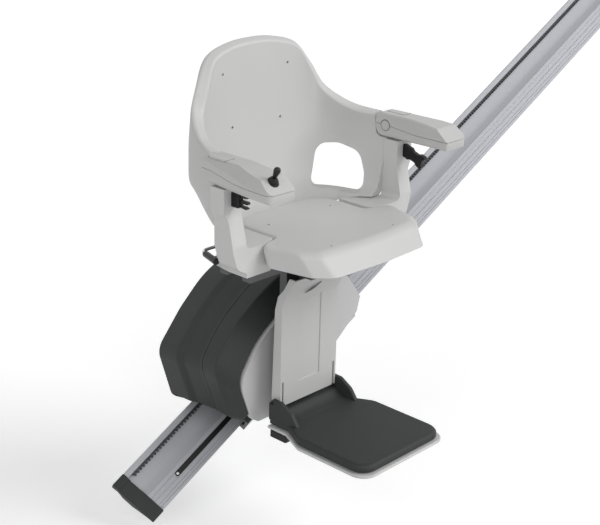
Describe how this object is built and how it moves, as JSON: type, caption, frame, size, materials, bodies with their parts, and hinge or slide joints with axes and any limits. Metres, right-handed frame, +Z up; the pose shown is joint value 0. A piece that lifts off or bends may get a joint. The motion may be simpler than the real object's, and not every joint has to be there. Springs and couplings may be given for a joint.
{
  "type": "stairlift chair",
  "caption": "Stairlift chair on an inclined rack rail: moulded bucket seat that swivels and folds, folding armrests with a joystick, folding footrest, motor carriage.",
  "frame": {"origin": "centre of the rail's fixing hole behind the carriage, on the back face of the extrusion", "axes": "+Z up, +X towards the upper end of the stairs, -Y out of the front of the chair"},
  "size_m": [1.833, 0.5954, 1.0411],
  "materials": {
    "rail_metal": "satin anodised",
    "rack_plastic": "dark coated steel",
    "cap_plastic": "fine moulded texture",
    "strip_plastic": "satin",
    "screw_steel": "plated",
    "cover_plastic": "fine moulded texture",
    "panel_plastic": "satin moulded",
    "post_plastic": "satin moulded",
    "frame_steel": "powder coated",
    "gear_steel": "machined",
    "motor_metal": "painted",
    "battery_plastic": "moulded",
    "board_plastic": "lacquered board",
    "nylon": "self-lubricating",
    "rest_rubber": "matt",
    "tread_plastic": "grained",
    "edge_plastic": "satin moulded",
    "seat_plastic": "fine grained moulding",
    "support_plastic": "satin moulded",
    "arm_plastic": "satin moulded",
    "knob_plastic": "gloss",
    "buckle_plastic": "moulded",
    "lever_chrome": "plated",
    "grip_plastic": "moulded"
  },
  "bodies": {
    "rail": {"rail_extrusion": "rail_metal", "toothed_rack": "rack_plastic", "lower_end_cap": "cap_plastic", "upper_end_cap": "cap_plastic", "contact_strip": "strip_plastic", "strip_screws": "screw_steel"},
    "carriage": {"carriage_cover": "cover_plastic", "front_panel": "panel_plastic", "lower_tray": "panel_plastic", "chassis": "frame_steel", "roller_axles": "frame_steel", "guide_shoes": "nylon", "gearbox": "frame_steel", "drive_motor": "motor_metal", "batteries": "battery_plastic", "control_board": "board_plastic", "post_core": "frame_steel", "post_cover": "post_plastic", "footrest_pin": "frame_steel", "swivel_ring": "frame_steel"},
    "pinion": {"drive_pinion": "gear_steel"},
    "lower_top_wheel": {"lower_top_roller": "nylon"},
    "lower_bottom_wheel": {"lower_bottom_roller": "nylon"},
    "upper_top_wheel": {"upper_top_roller": "nylon"},
    "upper_bottom_wheel": {"upper_bottom_roller": "nylon"},
    "footrest": {"footrest_tread": "tread_plastic"},
    "safety_edge": {"safety_plate": "edge_plastic"},
    "chair": {"swivel_plate": "frame_steel", "seat_frame": "frame_steel", "seat_hinge_pin": "frame_steel", "seat_rests": "rest_rubber", "back_shell": "seat_plastic", "right_arm_support": "support_plastic", "left_arm_support": "support_plastic", "right_arm_pin": "frame_steel", "left_arm_pin": "frame_steel", "lever_bearing": "nylon", "belt_tongue": "buckle_plastic", "belt_buckle": "buckle_plastic"},
    "seat": {"seat_base": "seat_plastic"},
    "right_arm": {"right_arm_upper": "arm_plastic", "right_arm_lower": "arm_plastic", "right_arm_cap": "arm_plastic"},
    "left_arm": {"left_arm_upper": "arm_plastic", "left_arm_lower": "arm_plastic", "left_arm_cap": "arm_plastic", "joystick_boot": "rest_rubber"},
    "stick": {"joystick": "knob_plastic"},
    "lever": {"lever_rod": "lever_chrome", "lever_grip": "grip_plastic"}
  },
  "joints": [
    {"name": "carriage_travel", "type": "slide", "parent": "rail", "child": "carriage", "axis": [0.8829, 0, 0.4695], "range_m": [-0.19, 1.25]},
    {"name": "pinion_turn", "type": "hinge", "parent": "carriage", "child": "pinion", "pos_m": [0.1485, -0.00547, 0.10892], "axis": [-0.3648, -0.6293, 0.6862], "range_deg": [-730, 4780]},
    {"name": "lower_top_roll", "type": "hinge", "parent": "carriage", "child": "lower_top_wheel", "pos_m": [-0.03715, 0.00495, 0.04351], "axis": [-0.2954, 0.7771, 0.5557], "range_deg": [-780, 5120]},
    {"name": "lower_bottom_roll", "type": "hinge", "parent": "carriage", "child": "lower_bottom_wheel", "pos_m": [-0.00688, -0.07151, -0.01342], "axis": [-0.2954, 0.7771, 0.5557], "range_deg": [-780, 5120]},
    {"name": "upper_top_roll", "type": "hinge", "parent": "carriage", "child": "upper_top_wheel", "pos_m": [0.19241, 0.00495, 0.16558], "axis": [-0.2954, 0.7771, 0.5557], "range_deg": [-780, 5120]},
    {"name": "upper_bottom_roll", "type": "hinge", "parent": "carriage", "child": "upper_bottom_wheel", "pos_m": [0.22269, -0.07151, 0.10864], "axis": [-0.2954, 0.7771, 0.5557], "range_deg": [-780, 5120]},
    {"name": "footrest_fold", "type": "hinge", "parent": "carriage", "child": "footrest", "pos_m": [0, -0.24283, 0.10125], "axis": [-1, 0, 0], "range_deg": [0, 80]},
    {"name": "safety_plate_press", "type": "slide", "parent": "footrest", "child": "safety_edge", "axis": [0, 0, 1], "range_m": [0, 0.0025], "stiffness_N_per_m": 3000, "springref_m": -0.002},
    {"name": "seat_swivel", "type": "hinge", "parent": "carriage", "child": "chair", "pos_m": [0, -0.26083, 0.41725], "axis": [0, 0, 1], "range_deg": [-75, 75]},
    {"name": "seat_fold", "type": "hinge", "parent": "chair", "child": "seat", "pos_m": [0, -0.15684, 0.47725], "axis": [-1, 0, 0], "range_deg": [0, 75]},
    {"name": "right_arm_fold", "type": "hinge", "parent": "chair", "child": "right_arm", "pos_m": [0.258, -0.24783, 0.65525], "axis": [-1, 0, 0], "range_deg": [0, 85]},
    {"name": "left_arm_fold", "type": "hinge", "parent": "chair", "child": "left_arm", "pos_m": [-0.258, -0.24783, 0.65525], "axis": [-1, 0, 0], "range_deg": [0, 85]},
    {"name": "joystick_tilt", "type": "hinge", "parent": "left_arm", "child": "stick", "pos_m": [-0.278, -0.40283, 0.65725], "axis": [0, 1, 0], "range_deg": [-12, 12], "stiffness_Nm_per_rad": 0.5},
    {"name": "swivel_lever_lift", "type": "hinge", "parent": "chair", "child": "lever", "pos_m": [-0.16, -0.15684, 0.45525], "axis": [-1, 0, 0], "range_deg": [0, 18], "stiffness_Nm_per_rad": 1.5, "springref_deg": -2.86}
  ],
  "couplings": [
    {"joint": "pinion_turn", "follows": "carriage_travel", "rad_per_m": 66.667},
    {"joint": "lower_top_roll", "follows": "carriage_travel", "rad_per_m": 71.429},
    {"joint": "lower_bottom_roll", "follows": "carriage_travel", "rad_per_m": 71.429},
    {"joint": "upper_top_roll", "follows": "carriage_travel", "rad_per_m": 71.429},
    {"joint": "upper_bottom_roll", "follows": "carriage_travel", "rad_per_m": 71.429}
  ]
}
